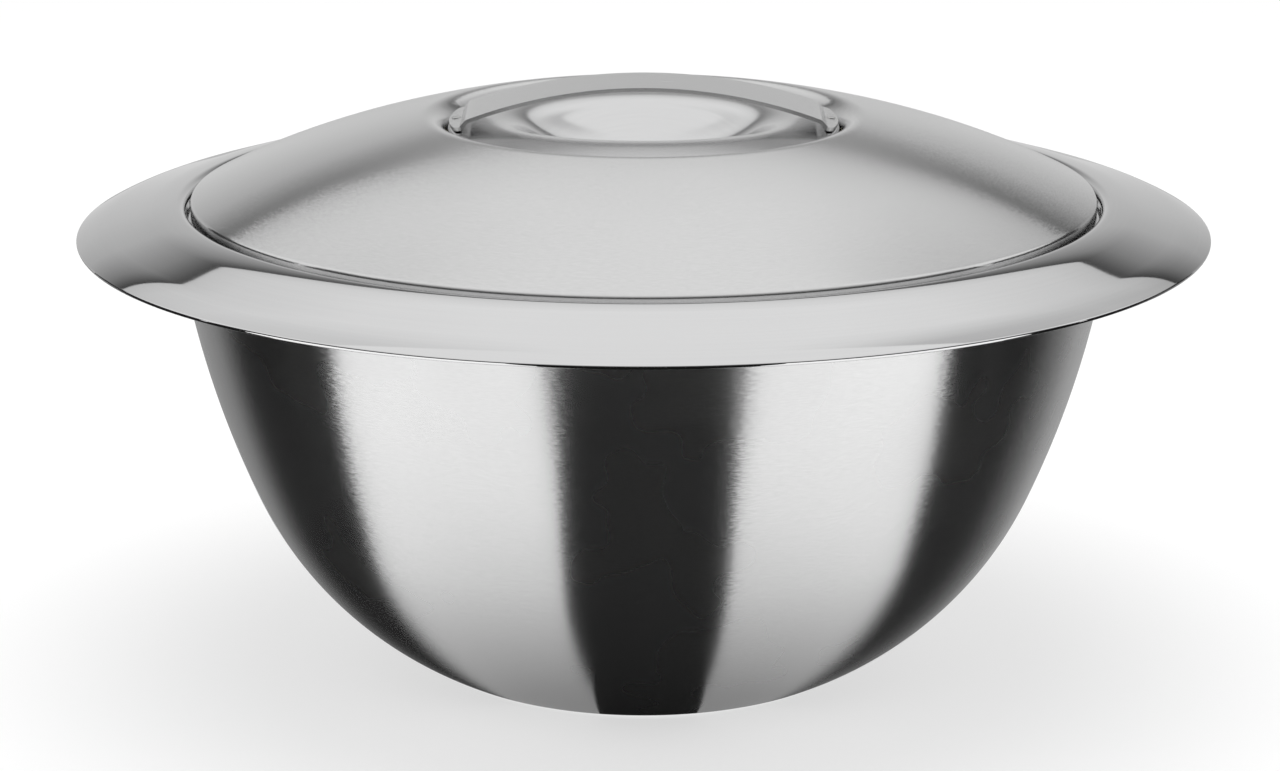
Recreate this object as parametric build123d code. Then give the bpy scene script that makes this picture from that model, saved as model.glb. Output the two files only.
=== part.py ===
from build123d import *

import os
from math import acos, asin, cos, degrees, radians, sin, sqrt, tan

# Insulated serving bowl: two steel walls with foam between them, a wide
# polished flange, and a loose double lid lifted by a strap over a hollow.
# Millimetres, +Z up, the bowl's base on z = 0 and its axis on Z.
# The strap runs along X.

# Sheets and fits
SHELL_SHEET = 0.8
BOWL_SHEET = 1.2
LID_SHEET = 0.8
LINER_SHEET = 0.6
STRAP_SHEET = 1.0
FOAM_CLEARANCE = 0.3
WELD_CLEARANCE = 0.1
SEAT_CLEARANCE = 0.1

# Outer wall: two arcs that run into each other, then a flat base.
# The lean is the wall's angle from upright.
RIM_HEIGHT = 118.0
WALL_RIM_RADIUS = 123.5
WALL_RIM_LEAN = 7.5
WALL_JOIN_LEAN = 23.7
UPPER_WALL_RADIUS = 252.0
BASE_RADIUS = 55.7
BASE_CORNER = 12.0
BASE_DIMPLE_RADIUS = 36.0
BASE_DIMPLE_DEPTH = 1.5
BASE_DIMPLE_SLANT = 3.0
BASE_DIMPLE_BEND = 2.0

# Inner bowl with its seat for the lid and its flange. From the collar outward the
# flange rolls off to a plain slope and falls faster to its rounded edge.
WALL_SPACE = 7.6
FLOOR_SPACE = 9.0
FLOOR_CORNER = 16.0
SEAT_RISE = 4.5
SEAT_CORNER = 0.7
MOUTH_CORNER = 2.0
SEAT_WIDTH = 6.6
SHOULDER_SLOPE = 3.5
SHOULDER_ROLL = 45.0
SHOULDER_CORNER = 2.2
FLANGE_WIDTH = 29.0
FLANGE_SLOPE = 16.5
FALL_RADIUS = 40.0
FALL_SLOPE = 30.0
FLANGE_EDGE = 0.55

# Plug of the filling hole in the base's dimple
PLUG_RADIUS = 5.9
PLUG_PLAY = 0.1
PLUG_HEAD_RADIUS = 9.0
PLUG_HEAD_HEIGHT = 0.9
PLUG_LENGTH = 4.0

# Lid dome: a flank arc that runs into the crown
LID_GAP = 1.1
LID_EDGE_RISE = 10.4
LID_EDGE_SLOPE = 26.3
LID_EDGE_CORNER = 1.3
FLANK_RADIUS = 232.0
CROWN_SLOPE = 15.7

# Round opening of the dome, and the sunk cup with the finger hollow
OPENING_RADIUS = 52.3
OPENING_ROLL = 5.5
OPENING_COLLAR = 9.0
CUP_SINK = 3.8
CUP_CLEARANCE = 0.4
CUP_EDGE = 1.0
HOLLOW_HALF_LENGTH = 37.5
HOLLOW_HALF_WIDTH = 29.0
HOLLOW_DEPTH = 15.0
HOLLOW_LIFT = 16.0
HOLLOW_LIP = 18.0

# Pan under the lid
LINER_PLAY = 1.6
LINER_TURN_UP = 3.0
LINER_CORNER = 1.5
PAN_DROP = 6.0
PAN_RISE = 5.0
PAN_CORNER = 4.0

# Strap handle and its rivets. The arch rises over the cup's disc, less at its ends.
STRAP_RISE = 5.85
STRAP_END_RISE = 1.6
STRAP_END_GAP = 1.0
STRAP_FOOT = 3.7
STRAP_JOGGLE = 1.6
STRAP_WAIST = 22.6
STRAP_END_WIDTH = 27.6
STRAP_CORNER = 2.5
STRAP_FOLD = 1.2
RIVET_RADIUS = 0.7
RIVET_PLAY = 0.1
RIVET_HEAD_RADIUS = 1.2
RIVET_HEAD_HEIGHT = 0.35

# Heights and insets that follow from these
SEAT_HEIGHT = RIM_HEIGHT + SEAT_RISE
LID_BOTTOM = SEAT_HEIGHT + SEAT_CLEARANCE
FLOOR_HEIGHT = SHELL_SHEET + FLOOR_SPACE + BOWL_SHEET
BOWL_INSET = SHELL_SHEET + WALL_SPACE + BOWL_SHEET
HOLLOW_STRETCH = 1 / sqrt(1 - (HOLLOW_LIFT / (HOLLOW_DEPTH + HOLLOW_LIFT)) ** 2)


def polar(length, angle):
    """Vector of the given length at an angle in degrees from +X."""
    return Vector(length * cos(radians(angle)), length * sin(radians(angle)))


# The wall's upper arc hangs from the rim, and its lower arc runs on from it to the base
UPPER_CENTRE = Vector(WALL_RIM_RADIUS, RIM_HEIGHT) - polar(UPPER_WALL_RADIUS, -WALL_RIM_LEAN)
WALL_JOIN = UPPER_CENTRE + polar(UPPER_WALL_RADIUS, -WALL_JOIN_LEAN)
BASE_CHORD = WALL_JOIN - Vector(BASE_RADIUS, 0)
LOWER_WALL_RADIUS = BASE_CHORD.length**2 / (2 * BASE_CHORD.dot(polar(1, -WALL_JOIN_LEAN)))
LOWER_CENTRE = WALL_JOIN - polar(LOWER_WALL_RADIUS, -WALL_JOIN_LEAN)

# Radii outward from the bowl's mouth: seat, collar, flange and lid
MOUTH_ANGLE = asin((SEAT_HEIGHT - UPPER_CENTRE.Y) / (UPPER_WALL_RADIUS - BOWL_INSET))
MOUTH_RADIUS = UPPER_CENTRE.X + (UPPER_WALL_RADIUS - BOWL_INSET) * cos(MOUTH_ANGLE)
COLLAR_RADIUS = MOUTH_RADIUS + SEAT_WIDTH
FLANGE_RADIUS = COLLAR_RADIUS + FLANGE_WIDTH
LID_RADIUS = COLLAR_RADIUS - LID_GAP
WELD_RADIUS = LID_RADIUS - LID_SHEET - WELD_CLEARANCE
PAN_RADIUS = MOUTH_RADIUS - LINER_PLAY
PAN_HEIGHT = LID_BOTTOM - PAN_DROP
PAN_BEND = (PAN_RADIUS**2 + PAN_RISE**2) / (2 * PAN_RISE)

# The flange's fall ends at its edge, and its roll ends on the collar's line
FLANGE_END = Vector(FLANGE_RADIUS, RIM_HEIGHT + BOWL_SHEET)
FALL_CENTRE = FLANGE_END - polar(FALL_RADIUS, 90 - FALL_SLOPE)
FALL_END = FALL_CENTRE + polar(FALL_RADIUS, 90 - FLANGE_SLOPE)
ROLL_CENTRE_RADIUS = COLLAR_RADIUS - SHOULDER_ROLL * sin(radians(SHOULDER_SLOPE))
ROLL_START_RADIUS = ROLL_CENTRE_RADIUS + SHOULDER_ROLL * sin(radians(FLANGE_SLOPE))
SLOPE_RISE = (FALL_END.X - ROLL_START_RADIUS) * tan(radians(FLANGE_SLOPE))
ROLL_START = Vector(ROLL_START_RADIUS, FALL_END.Y + SLOPE_RISE)
ROLL_CENTRE = ROLL_START - polar(SHOULDER_ROLL, 90 - FLANGE_SLOPE)

# The dome's flank starts at the lid's edge, and its crown is centred on the axis
FLANK_CENTRE = Vector(LID_RADIUS, RIM_HEIGHT + LID_EDGE_RISE) - polar(FLANK_RADIUS, 90 - LID_EDGE_SLOPE)
CROWN_JOIN = FLANK_CENTRE + polar(FLANK_RADIUS, 90 - CROWN_SLOPE)
CROWN_RADIUS = CROWN_JOIN.X / sin(radians(CROWN_SLOPE))
CROWN_CENTRE = Vector(0, CROWN_JOIN.Y - CROWN_RADIUS * cos(radians(CROWN_SLOPE)))
CUP_RADIUS = CROWN_RADIUS - CUP_SINK
OPENING_TOP = CROWN_CENTRE.Y + sqrt(CROWN_RADIUS**2 - OPENING_RADIUS**2)
COLLAR_BOTTOM = OPENING_TOP - OPENING_COLLAR
STRAP_END_RADIUS = OPENING_RADIUS - STRAP_END_GAP
STRAP_HEEL = STRAP_END_RADIUS - STRAP_FOOT
STRAP_HALF_LENGTH = STRAP_HEEL - STRAP_JOGGLE


def turned(section):
    """Solid turned about Z from a section drawn with x outward and y up."""
    return revolve(Plane.XZ * section, Axis.Z)


def sheet_section(edges, bends, thickness, side):
    """Section of a pressed sheet: one face's line with its bends, thickened to one side."""
    face_line = Wire(edges)
    for corner, radius in bends:
        vertex = face_line.vertices().sort_by_distance(corner)[0]
        face_line = face_line.fillet_2d(radius, [vertex])
    return make_face(face_line.offset_2d(thickness, Kind.INTERSECTION, side, closed=True))


def wall_arcs(inset, top, bottom):
    """The wall's two arcs, set inward from the outer face, between two heights."""
    upper_radius = UPPER_WALL_RADIUS - inset
    lower_radius = LOWER_WALL_RADIUS - inset
    top_angle = degrees(asin((top - UPPER_CENTRE.Y) / upper_radius))
    bottom_angle = degrees(asin((bottom - LOWER_CENTRE.Y) / lower_radius))
    upper = CenterArc(UPPER_CENTRE, upper_radius, top_angle, -WALL_JOIN_LEAN - top_angle)
    lower = CenterArc(LOWER_CENTRE, lower_radius, -WALL_JOIN_LEAN, bottom_angle + WALL_JOIN_LEAN)
    return upper, lower


def dome_arcs(inset, inner_radius):
    """The dome's two arcs, set down from its upper face, from the lid's edge inward."""
    crown = CROWN_RADIUS - inset
    inner_angle = degrees(acos(inner_radius / crown))
    start_angle = 90 - LID_EDGE_SLOPE
    join_angle = 90 - CROWN_SLOPE
    flank_arc = CenterArc(FLANK_CENTRE, FLANK_RADIUS - inset, start_angle, join_angle - start_angle)
    crown_arc = CenterArc(CROWN_CENTRE, crown, join_angle, inner_angle - join_angle)
    return flank_arc, crown_arc


def cup_point(radius, depth=0.0):
    """Point on the cup's disc, as a section point, at a depth below its upper face."""
    sphere = CUP_RADIUS - depth
    return Vector(radius, CROWN_CENTRE.Y + sqrt(sphere**2 - radius**2))


def flange_line():
    """Upper face of the flange, from its edge to where the collar's line meets it."""
    fall = CenterArc(FALL_CENTRE, FALL_RADIUS, 90 - FALL_SLOPE, FALL_SLOPE - FLANGE_SLOPE)
    roll = CenterArc(ROLL_CENTRE, SHOULDER_ROLL, 90 - FLANGE_SLOPE, FLANGE_SLOPE - SHOULDER_SLOPE)
    return [fall, Line(fall @ 1, roll @ 0), roll]


def make_inner_bowl():
    """Liner, seat and flange in one pressing, with a rounded outer edge."""
    flange = flange_line()
    upper, lower = wall_arcs(BOWL_INSET, SEAT_HEIGHT, FLOOR_HEIGHT)
    shoulder = flange[-1] @ 1
    seat_outer = Vector(COLLAR_RADIUS, SEAT_HEIGHT)
    mouth = upper @ 0
    floor_edge = lower @ 1
    floor = Line(floor_edge, (0, FLOOR_HEIGHT))
    seat = [Line(shoulder, seat_outer), Line(seat_outer, mouth)]
    edges = flange + seat + [upper, lower, floor]
    bends = [
        (shoulder, SHOULDER_CORNER),
        (seat_outer, SEAT_CORNER),
        (mouth, MOUTH_CORNER),
        (floor_edge, FLOOR_CORNER),
    ]
    section = sheet_section(edges, bends, BOWL_SHEET, Side.LEFT)
    outer_corners = section.vertices().sort_by_distance(FLANGE_END)[:2]
    return turned(fillet(outer_corners, FLANGE_EDGE))


def below_flange(section):
    """The part of a section that lies under the flange, clear of its lower face."""
    reach = SHOULDER_ROLL - BOWL_SHEET - WELD_CLEARANCE
    room = Pos(ROLL_CENTRE) * Circle(reach)
    block = Rectangle(FLANGE_RADIUS, RIM_HEIGHT, align=(Align.MIN, Align.MIN))
    above = Pos(0, RIM_HEIGHT) * block - room
    return section - above


def base_line(inset, start):
    """Edges of the base from its rounded corner to the axis, with the pressed-up middle."""
    foot = Vector(BASE_DIMPLE_RADIUS, inset)
    rise = Vector(BASE_DIMPLE_RADIUS - BASE_DIMPLE_SLANT, inset + BASE_DIMPLE_DEPTH)
    edges = [Line(start, foot), Line(foot, rise), Line(rise, (0, rise.Y))]
    bends = [(start, BASE_CORNER - inset), (foot, BASE_DIMPLE_BEND), (rise, BASE_DIMPLE_BEND)]
    return edges, bends


def make_outer_shell():
    """Satin outer wall, trimmed to the flange's lower face, with the filling hole."""
    upper, lower = wall_arcs(0, ROLL_START.Y, 0)
    edges, bends = base_line(0, lower @ 1)
    section = sheet_section([upper, lower] + edges, bends, SHELL_SHEET, Side.RIGHT)
    shell = turned(below_flange(section))
    return shell - Cylinder(PLUG_RADIUS + PLUG_PLAY, RIM_HEIGHT)


def make_bowl_insulation():
    """Foam that fills the space between the two walls."""
    outside = SHELL_SHEET + FOAM_CLEARANCE
    inside = BOWL_INSET - BOWL_SHEET - FOAM_CLEARANCE
    top = SEAT_HEIGHT - BOWL_SHEET - FOAM_CLEARANCE
    floor = SHELL_SHEET + BASE_DIMPLE_DEPTH + FOAM_CLEARANCE
    hollow_floor = FLOOR_HEIGHT - BOWL_SHEET - FOAM_CLEARANCE
    solids = []
    for inset, bottom in ((outside, floor), (inside, hollow_floor)):
        upper, lower = wall_arcs(inset, top, bottom)
        outline = [upper, lower, Polyline(lower @ 1, (0, bottom), (0, top), upper @ 0)]
        solids.append(turned(make_face(outline)))
    foam = solids[0] - solids[1]
    return foam - Pos(0, 0, floor) * Cylinder(PLUG_RADIUS + PLUG_PLAY, 2 * PLUG_LENGTH)


def make_filling_plug():
    """Push-in plug of the filling hole, its head inside the base's dimple."""
    head_top = BASE_DIMPLE_DEPTH
    head = Pos(0, 0, head_top) * Cylinder(
        PLUG_HEAD_RADIUS, PLUG_HEAD_HEIGHT, align=(Align.CENTER, Align.CENTER, Align.MAX)
    )
    stem = Pos(0, 0, head_top) * Cylinder(
        PLUG_RADIUS, PLUG_LENGTH, align=(Align.CENTER, Align.CENTER, Align.MIN)
    )
    rim = head.edges().filter_by(GeomType.CIRCLE).group_by(Axis.Z)[0]
    return fillet(rim, PLUG_HEAD_HEIGHT / 2) + stem


def make_lid_dome():
    """Satin upper sheet: turned-down edge, dome and an opening rolled in to a collar."""
    flank, crown = dome_arcs(0, OPENING_RADIUS)
    edge = flank @ 0
    opening = crown @ 1
    skirt = Line((LID_RADIUS, LID_BOTTOM), edge)
    collar = Line(opening, (OPENING_RADIUS, COLLAR_BOTTOM))
    bends = [(edge, LID_EDGE_CORNER), (opening, OPENING_ROLL)]
    return turned(sheet_section([skirt, flank, crown, collar], bends, LID_SHEET, Side.LEFT))


def hollow_form(inset):
    """Ellipsoid that shapes the finger hollow, grown by the inset for the sheet's lower face."""
    length = HOLLOW_HALF_LENGTH * HOLLOW_STRETCH + inset
    width = HOLLOW_HALF_WIDTH * HOLLOW_STRETCH + inset
    depth = HOLLOW_DEPTH + HOLLOW_LIFT + inset
    middle = cup_point(0).Y + HOLLOW_LIFT
    return Pos(0, 0, middle) * scale(Sphere(1), by=(length, width, depth))


def cup_form(inset):
    """Body under the cup's upper face, or under its lower face when set in by the sheet."""
    bottom = cup_point(0).Y - HOLLOW_DEPTH - HOLLOW_LIP
    radius = OPENING_RADIUS - CUP_CLEARANCE - inset
    sphere = CUP_RADIUS - inset
    rim_angle = degrees(acos(radius / sphere))
    disc = CenterArc(CROWN_CENTRE, sphere, rim_angle, 90 - rim_angle)
    section = make_face([disc, Polyline(disc @ 1, (0, bottom), (radius, bottom), disc @ 0)])
    rim = section.vertices().sort_by_distance(disc @ 0)[0]
    section = fillet(rim, CUP_EDGE - inset)
    body = turned(section) - hollow_form(inset)
    lip = body.edges().filter_by(GeomType.BSPLINE).sort_by(SortBy.LENGTH)[-1]
    return fillet(lip, HOLLOW_LIP - inset)


def make_handle_cup():
    """Polished disc with a turned-down edge and the oval finger hollow pressed into it."""
    cup = cup_form(0) - cup_form(LID_SHEET)
    ring = Circle(OPENING_RADIUS) - Circle(OPENING_RADIUS - OPENING_ROLL)
    below_collar = Pos(0, 0, COLLAR_BOTTOM) * extrude(ring, -RIM_HEIGHT)
    return cup - below_collar - rivet_holes()


def make_lid_liner():
    """Lower sheet of the lid: a rim welded inside the skirt, and a pan in the bowl's mouth."""
    rim = Vector(WELD_RADIUS, LID_BOTTOM)
    throat = Vector(PAN_RADIUS, LID_BOTTOM)
    pan_edge = Vector(PAN_RADIUS, PAN_HEIGHT)
    turn_up = Line((WELD_RADIUS, LID_BOTTOM + LINER_TURN_UP), rim)
    pan = RadiusArc(pan_edge, (0, PAN_HEIGHT + PAN_RISE), -PAN_BEND)
    edges = [turn_up, Line(rim, throat), Line(throat, pan_edge), pan]
    bends = [(rim, LINER_CORNER), (throat, LINER_CORNER), (pan_edge, PAN_CORNER)]
    return turned(sheet_section(edges, bends, LINER_SHEET, Side.RIGHT))


def make_lid_insulation():
    """Foam between the lid's two sheets, clear of the cup."""
    lining = LINER_SHEET + FOAM_CLEARANCE
    flank, crown = dome_arcs(LID_SHEET + FOAM_CLEARANCE, 0)
    throat_radius = PAN_RADIUS - PAN_CORNER
    rim_radius = WELD_RADIUS - lining
    pan_angle = degrees(acos(throat_radius / (PAN_BEND + lining)))
    pan_centre = (0, PAN_HEIGHT + PAN_RISE - PAN_BEND)
    pan = CenterArc(pan_centre, PAN_BEND + lining, pan_angle, 90 - pan_angle)
    rim_height = LID_BOTTOM + LINER_TURN_UP + FOAM_CLEARANCE
    steps = Polyline(pan @ 0, (throat_radius, rim_height), (LID_RADIUS, rim_height), flank @ 0)
    outline = [flank, crown, Line(crown @ 1, pan @ 1), pan, steps]
    section = make_face(outline) & Rectangle(rim_radius, 2 * RIM_HEIGHT, align=(Align.MIN, Align.MIN))
    cup_room = extrude(Circle(OPENING_RADIUS + OPENING_ROLL), RIM_HEIGHT)
    foam = turned(section) - Pos(0, 0, COLLAR_BOTTOM - FOAM_CLEARANCE) * cup_room
    return foam - hollow_form(LID_SHEET + FOAM_CLEARANCE)


def foot_seats():
    """Frames on the cup's disc under the middle of each strap foot, z along its normal."""
    middle = (STRAP_HEEL + STRAP_END_RADIUS) / 2
    lean = degrees(asin(middle / CUP_RADIUS))
    seat = cup_point(middle)
    return [Pos(side * seat.X, 0, seat.Y) * Rot(0, side * lean, 0) for side in (-1, 1)]


def rivet_holes():
    """Drill for the two rivets, through the strap's feet and the cup."""
    drill = Cylinder(RIVET_RADIUS + RIVET_PLAY, 4 * (STRAP_SHEET + LID_SHEET))
    return Compound([seat * drill for seat in foot_seats()])


def make_handle_rivets():
    """Two small rivets with a low round head above and a flat set head below."""
    stack = LID_SHEET
    rivets = []
    for seat in foot_seats():
        shank = Pos(0, 0, -stack) * Cylinder(
            RIVET_RADIUS, stack + STRAP_SHEET, align=(Align.CENTER, Align.CENTER, Align.MIN)
        )
        head = Cylinder(RIVET_HEAD_RADIUS, RIVET_HEAD_HEIGHT)
        top_head = fillet(head.edges().group_by(Axis.Z)[-1], RIVET_HEAD_HEIGHT * 0.9)
        upper = Pos(0, 0, STRAP_SHEET + RIVET_HEAD_HEIGHT / 2) * top_head
        lower = Pos(0, 0, -stack - RIVET_HEAD_HEIGHT / 2) * head
        rivets.append(seat * (shank + upper + lower))
    return Compound(rivets)


def make_handle_strap():
    """Waisted strap, bent to a low arch and stepped down to a foot at each end."""
    crown = cup_point(0) + Vector(0, STRAP_RISE)
    spring = cup_point(STRAP_HALF_LENGTH) + Vector(0, STRAP_END_RISE)
    seat_frame = foot_seats()[1]
    seat = Vector(seat_frame.position.X, seat_frame.position.Z)
    fall = -seat.X / (seat.Y - CROWN_CENTRE.Y)
    heel = Vector(STRAP_HEEL, seat.Y + fall * (STRAP_HEEL - seat.X))
    toe = Vector(STRAP_END_RADIUS, seat.Y + fall * (STRAP_END_RADIUS - seat.X))
    left_spring, left_heel, left_toe = [Vector(-p.X, p.Y) for p in (spring, heel, toe)]
    arch = ThreePointArc(left_spring, crown, spring)
    left = [Line(left_toe, left_heel), Line(left_heel, left_spring)]
    right = [Line(spring, heel), Line(heel, toe)]
    bends = [(corner, STRAP_FOLD) for corner in (left_heel, left_spring, spring, heel)]
    section = sheet_section(left + [arch] + right, bends, STRAP_SHEET, Side.LEFT)
    band = extrude(Plane.XZ * section, STRAP_END_RADIUS, both=True)
    return (band & strap_outline()) - rivet_holes()


def strap_outline():
    """Upright prism of the strap's plan: round ends and two hollow sides."""
    taper = (STRAP_END_WIDTH - STRAP_WAIST) / 2
    side_radius = (STRAP_HALF_LENGTH**2 + taper**2) / (2 * taper)
    plan = Circle(STRAP_END_RADIUS)
    for side in (-1, 1):
        plan -= Pos(0, side * (STRAP_WAIST / 2 + side_radius)) * Circle(side_radius)
    plan = fillet(plan.vertices(), STRAP_CORNER)
    return extrude(plan, 2 * RIM_HEIGHT)


PARTS = {
    "outer_shell": make_outer_shell,
    "inner_bowl": make_inner_bowl,
    "bowl_insulation": make_bowl_insulation,
    "filling_plug": make_filling_plug,
    "lid_dome": make_lid_dome,
    "lid_liner": make_lid_liner,
    "lid_insulation": make_lid_insulation,
    "handle_cup": make_handle_cup,
    "handle_strap": make_handle_strap,
    "handle_rivets": make_handle_rivets,
}

os.makedirs("parts", exist_ok=True)
for name, make in PARTS.items():
    export_step(make(), f"parts/{name}.step")
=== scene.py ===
# %% [markdown]
# # A steel serving bowl with a domed lid
# The bowl is pressed steel: two walls with foam between them, a wide polished flange, and a
# loose double lid with a strap handle over a finger hollow. The engineering model comes in
# as a fixed frame in metres. This lesson draws every sheet that shows again as a smooth
# mesh, in the same place, and then gives each one its finish.

# %% Load the frame
from math import atan2, ceil, cos, degrees, pi, radians, sin, sqrt, tan, tau

import bmesh
import bpy
from mathutils import Matrix, Vector
from mathutils.geometry import (
    intersect_line_line_2d,
    intersect_line_sphere_2d,
    intersect_sphere_sphere_2d,
)


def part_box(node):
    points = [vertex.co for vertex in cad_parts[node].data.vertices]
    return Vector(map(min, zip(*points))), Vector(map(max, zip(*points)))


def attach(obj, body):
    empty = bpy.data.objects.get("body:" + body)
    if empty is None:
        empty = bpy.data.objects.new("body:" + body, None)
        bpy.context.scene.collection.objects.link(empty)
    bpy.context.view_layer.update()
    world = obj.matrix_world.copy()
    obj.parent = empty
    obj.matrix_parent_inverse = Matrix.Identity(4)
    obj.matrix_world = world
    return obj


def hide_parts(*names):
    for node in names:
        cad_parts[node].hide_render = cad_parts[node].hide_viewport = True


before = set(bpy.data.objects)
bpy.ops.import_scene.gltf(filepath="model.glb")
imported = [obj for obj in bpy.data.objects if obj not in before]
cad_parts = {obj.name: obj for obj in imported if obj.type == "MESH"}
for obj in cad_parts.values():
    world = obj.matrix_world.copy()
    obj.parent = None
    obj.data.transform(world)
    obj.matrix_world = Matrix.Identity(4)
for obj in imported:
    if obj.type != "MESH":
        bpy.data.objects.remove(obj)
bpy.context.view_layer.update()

MM = 0.001
print("nodes:", sorted(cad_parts))

# %% [markdown]
# ## Drawing a section
# Every sheet of this bowl but the handle was spun or pressed round, so its shape is one
# section: straight runs and arcs that meet in small bends. A section could be typed in as a
# list of points, but then each bend is a guess. Here it is drawn like a drawing on paper:
# corners joined by lines and arcs, and a true radius at each corner. The drawing plane is
# XZ, with x outward from the axis.

# %% Geometry of a bend
RIGHT_TURN = -1
LEFT_TURN = 1


def polar(length, angle):
    """Vector in the section's plane, at an angle in degrees from outward."""
    return Vector((length * cos(radians(angle)), length * sin(radians(angle))))


def line(end, bend=0.0):
    """Straight run to a corner, with the radius of the bend there."""
    return {"end": Vector(end), "bend": bend, "centre": None}


def arc(end, centre, bend=0.0):
    """Arc about a centre to a corner, with the radius of the bend there."""
    return {"end": Vector(end), "bend": bend, "centre": Vector(centre)}


def heading(run, point):
    """Direction of travel along a run at one of its points."""
    if run["centre"] is None:
        return (run["end"] - run["start"]).normalized()
    spoke = (point - run["centre"]).normalized()
    return Vector((-spoke.y, spoke.x)) * run["turn"]


def shifted(run, side, distance):
    """Where the centres of circles lie that touch a run on one side."""
    if run["centre"] is None:
        along = heading(run, run["start"])
        move = Vector((-along.y, along.x)) * side * distance
        return run["start"] + move, run["end"] + move
    radius = (run["start"] - run["centre"]).length
    return run["centre"], radius - side * run["turn"] * distance


def bend_centre(before, after, corner, side, radius):
    """Centre of the bend that touches two runs: where their shifted lines cross."""
    first = shifted(before, side, radius)
    second = shifted(after, side, radius)
    if before["centre"] is None and after["centre"] is None:
        return intersect_line_line_2d(*first, *second)
    if before["centre"] is None:
        found = intersect_line_sphere_2d(*first, *second, False)
    elif after["centre"] is None:
        found = intersect_line_sphere_2d(*second, *first, False)
    else:
        found = intersect_sphere_sphere_2d(*first, *second)
    return min(found, key=lambda point: (point - corner).length)


def touch_point(run, centre):
    """The point of a run where a bend with that centre touches it."""
    if run["centre"] is None:
        along = heading(run, run["start"])
        return run["start"] + along * (centre - run["start"]).dot(along)
    radius = (run["start"] - run["centre"]).length
    return run["centre"] + (centre - run["centre"]).normalized() * radius


print("a left turn counts as", LEFT_TURN, "and a right turn as", RIGHT_TURN)

# %% [markdown]
# ## Turning the section into a wire
# In Blender a section is a chain of edges. A new bmesh starts with one vertex. A straight
# run is that vertex extruded to the next place, and an arc is the vertex spun about the
# arc's centre. Short steps matter on arcs, because polished metal shows every flat; a
# straight run does with longer ones.

# %% Draw a section with extrude and spin
FINE_STEP = 0.9 * MM
BEND_STEP = radians(9)
STRAIGHT_STRETCH = 4
LEAST_ARC_STEPS = 2


def place(point):
    """A section point as a point in space."""
    return Vector((point.x, 0, point.y))


def draw_straight(bm, tip, end, step):
    """Extrude the wire's last vertex to a place in even steps."""
    target = place(end)
    count = max(1, ceil((target - tip.co).length / step))
    stride = (target - tip.co) / count
    for _ in range(count):
        made = bmesh.ops.extrude_vert_indiv(bm, verts=[tip])["verts"][0]
        bmesh.ops.translate(bm, verts=[made], vec=stride)
        tip = made
    return tip


def draw_arc(bm, tip, centre, end, turn, step):
    """Spin the wire's last vertex about a centre until it faces the end point."""
    start_spoke = Vector((tip.co.x, tip.co.z)) - centre
    end_spoke = end - centre
    angle = turn * (atan2(end_spoke.y, end_spoke.x) - atan2(start_spoke.y, start_spoke.x)) % tau
    count = max(LEAST_ARC_STEPS, ceil(angle * start_spoke.length / step))
    made = bmesh.ops.spin(
        bm, geom=[tip], cent=place(centre), axis=(0, -turn, 0), angle=angle, steps=count
    )
    return next(item for item in made["geom_last"] if isinstance(item, bmesh.types.BMVert))


def draw_section(start, runs, step=FINE_STEP):
    """A bmesh that holds a section's wire, with its corners bent."""
    point = Vector(start)
    for run in runs:
        run["start"] = point
        if run["centre"] is not None:
            first = point - run["centre"]
            last = run["end"] - run["centre"]
            run["turn"] = LEFT_TURN if first.cross(last) > 0 else RIGHT_TURN
        point = run["end"]
    bm = bmesh.new()
    tip = bm.verts.new(place(Vector(start)))
    for index, run in enumerate(runs):
        corner = run["end"]
        stop = corner
        if run["bend"]:
            after = runs[index + 1]
            inward = heading(run, corner).cross(heading(after, corner))
            side = LEFT_TURN if inward > 0 else RIGHT_TURN
            centre = bend_centre(run, after, corner, side, run["bend"])
            stop = touch_point(run, centre)
        if run["centre"] is None:
            tip = draw_straight(bm, tip, stop, STRAIGHT_STRETCH * step)
        else:
            tip = draw_arc(bm, tip, run["centre"], stop, run["turn"], step)
        if run["bend"]:
            bend_end = touch_point(after, centre)
            tip = draw_arc(bm, tip, centre, bend_end, side, BEND_STEP * run["bend"])
    return bm


print("arcs step", round(FINE_STEP / MM, 1), "mm, bends", round(degrees(BEND_STEP)), "degrees")

# %% [markdown]
# ## Turned sheets
# A lathe or a press gives a full turn, so the wire is spun once round the axis. The bowl's
# floor ends on the axis, where all copies of one vertex fall together: they are merged, and
# only then are the faces told which way is out. A Solidify modifier gives the sheet its
# real gauge on the hidden side, and a Bevel takes the burr off the cut edges.

# %% Spin, merge and thicken
TURN_STEPS = 240
MERGE_DISTANCE = 0.001 * MM
HIDDEN_SIDE = -1
BURR = 0.2 * MM
BURR_SEGMENTS = 3
SHARP = radians(50)


def finish_sheet(
    bm, name, gauge, body, node, edge=BURR, edge_segments=BURR_SEGMENTS, smooth_levels=0
):
    """Make a piece of a surface: give it its gauge, round its edges and let it ride."""
    mesh = bpy.data.meshes.new(name)
    bm.to_mesh(mesh)
    bm.free()
    mesh.shade_smooth()
    piece = bpy.data.objects.new(name, mesh)
    bpy.context.scene.collection.objects.link(piece)
    if smooth_levels:
        smooth = piece.modifiers.new("smooth", "SUBSURF")
        smooth.levels = smooth_levels
        smooth.render_levels = smooth_levels
    wall = piece.modifiers.new("gauge", "SOLIDIFY")
    wall.thickness = gauge
    wall.offset = HIDDEN_SIDE
    wall.use_even_offset = True
    rounding = piece.modifiers.new("edges", "BEVEL")
    rounding.width = edge
    rounding.segments = edge_segments
    rounding.limit_method = "ANGLE"
    rounding.angle_limit = SHARP
    rounding.harden_normals = True
    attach(piece, body)
    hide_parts(node)
    return piece


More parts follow.
